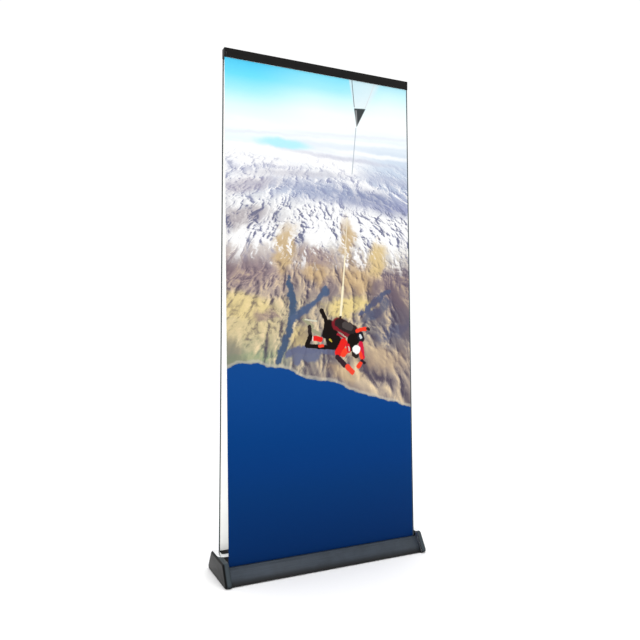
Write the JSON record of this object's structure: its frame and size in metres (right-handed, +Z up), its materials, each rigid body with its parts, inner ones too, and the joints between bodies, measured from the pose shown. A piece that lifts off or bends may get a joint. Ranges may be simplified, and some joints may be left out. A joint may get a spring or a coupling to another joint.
{
  "type": "roll-up banner stand",
  "caption": "Double-sided roll-up banner stand: low twin-roller base, telescopic pole between two printed sheets, and a slim snap rail on top.",
  "frame": {"origin": "on the floor under the middle of the base", "axes": "+X along the banner to the right seen from the front, +Y towards the back, +Z up; the front graphic faces -Y"},
  "size_m": [0.908, 0.253, 2.09],
  "materials": {
    "slate_aluminium": "satin slate-grey powder coat",
    "raw_aluminium": "satin, mill finish",
    "black_aluminium": "black anodised, satin",
    "charcoal_plastic": "satin moulded",
    "black_plastic": "moulded",
    "silver_trim": "bright silver, glossy",
    "spring_steel": "drawn wire",
    "zinc_steel": "zinc plated",
    "rubber": "matt",
    "felt": "felt",
    "white_film": "blank polyester film, satin",
    "printed_film": "polyester film printed on one face, satin"
  },
  "bodies": {
    "base": {"base_chassis": "raw_aluminium", "pole_socket": "black_plastic", "front_cover": "slate_aluminium", "rear_cover": "slate_aluminium", "front_deck": "black_plastic", "rear_deck": "black_plastic", "front_slot_felt": "felt", "rear_slot_felt": "felt", "slot_trim_front": "silver_trim", "slot_trim_rear": "silver_trim", "centre_spine": "silver_trim", "end_cap_left": "charcoal_plastic", "end_cap_right": "charcoal_plastic", "bearing_plate_left": "zinc_steel", "bearing_plate_right": "zinc_steel", "foot_front_left": "rubber", "foot_front_right": "rubber", "foot_rear_left": "rubber", "foot_rear_right": "rubber", "plate_screw_front_left": "zinc_steel", "plate_screw_front_right": "zinc_steel", "plate_screw_rear_left": "zinc_steel", "plate_screw_rear_right": "zinc_steel", "front_spring_shaft": "zinc_steel", "rear_spring_shaft": "zinc_steel", "front_torsion_spring": "spring_steel", "rear_torsion_spring": "spring_steel", "front_leader": "white_film", "rear_leader": "white_film", "front_graphic": "printed_film", "rear_graphic": "printed_film", "pole_lower_tube": "raw_aluminium", "pole_foot_plug": "black_plastic"},
    "front_roller": {"front_roller_tube": "raw_aluminium", "front_roller_wrap": "white_film", "front_idle_plug": "black_plastic", "front_spring_plug": "black_plastic"},
    "rear_roller": {"rear_roller_tube": "raw_aluminium", "rear_roller_wrap": "white_film", "rear_idle_plug": "black_plastic", "rear_spring_plug": "black_plastic"},
    "rail": {"top_rail": "black_aluminium", "rail_cap_left": "black_plastic", "rail_cap_right": "black_plastic", "rail_bracket": "black_plastic", "front_hem_strip": "white_film", "rear_hem_strip": "white_film"},
    "front_jaw": {"front_rail_jaw": "black_aluminium"},
    "rear_jaw": {"rear_rail_jaw": "black_aluminium"},
    "pole_middle": {"pole_middle_tube": "raw_aluminium"},
    "pole_upper": {"pole_upper_tube": "raw_aluminium", "pole_head": "black_plastic"},
    "lock_lower": {"pole_lock_lower": "black_plastic"},
    "lock_upper": {"pole_lock_upper": "black_plastic"}
  },
  "joints": [
    {"name": "top_rail_slide", "type": "slide", "parent": "base", "child": "rail", "axis": [0, 0, 1], "range_m": [-1.1954, 0], "deforming": ["front_graphic", "rear_graphic"]},
    {"name": "pole_middle_slide", "type": "slide", "parent": "base", "child": "pole_middle", "axis": [0, 0, 1], "range_m": [-0.5978, 0]},
    {"name": "pole_upper_slide", "type": "slide", "parent": "pole_middle", "child": "pole_upper", "axis": [0, 0, 1], "range_m": [-0.5978, 0]},
    {"name": "pole_lock_lower_twist", "type": "hinge", "parent": "base", "child": "lock_lower", "pos_m": [0, 0, 0.76], "axis": [0, 0, 1], "range_deg": [0, 90]},
    {"name": "pole_lock_upper_twist", "type": "hinge", "parent": "pole_middle", "child": "lock_upper", "pos_m": [0, 0, 1.4], "axis": [0, 0, 1], "range_deg": [0, 90]},
    {"name": "front_roller_spin", "type": "hinge", "parent": "base", "child": "front_roller", "pos_m": [0, -0.0535, 0.0345], "axis": [1, 0, 0], "range_deg": [0, 4029]},
    {"name": "rear_roller_spin", "type": "hinge", "parent": "base", "child": "rear_roller", "pos_m": [0, 0.0535, 0.0345], "axis": [1, 0, 0], "range_deg": [-4029, 0]},
    {"name": "front_jaw_open", "type": "hinge", "parent": "rail", "child": "front_jaw", "pos_m": [0, -0.01455, 2.08525], "axis": [1, 0, 0], "range_deg": [-75, 0]},
    {"name": "rear_jaw_open", "type": "hinge", "parent": "rail", "child": "rear_jaw", "pos_m": [0, 0.01455, 2.08525], "axis": [1, 0, 0], "range_deg": [0, 75]}
  ],
  "couplings": [
    {"joint": "pole_middle_slide", "follows": "top_rail_slide", "ratio": 0.5},
    {"joint": "pole_upper_slide", "follows": "top_rail_slide", "ratio": 0.5},
    {"joint": "front_roller_spin", "follows": "top_rail_slide", "rad_per_m": -58.824},
    {"joint": "rear_roller_spin", "follows": "top_rail_slide", "rad_per_m": 58.824}
  ]
}
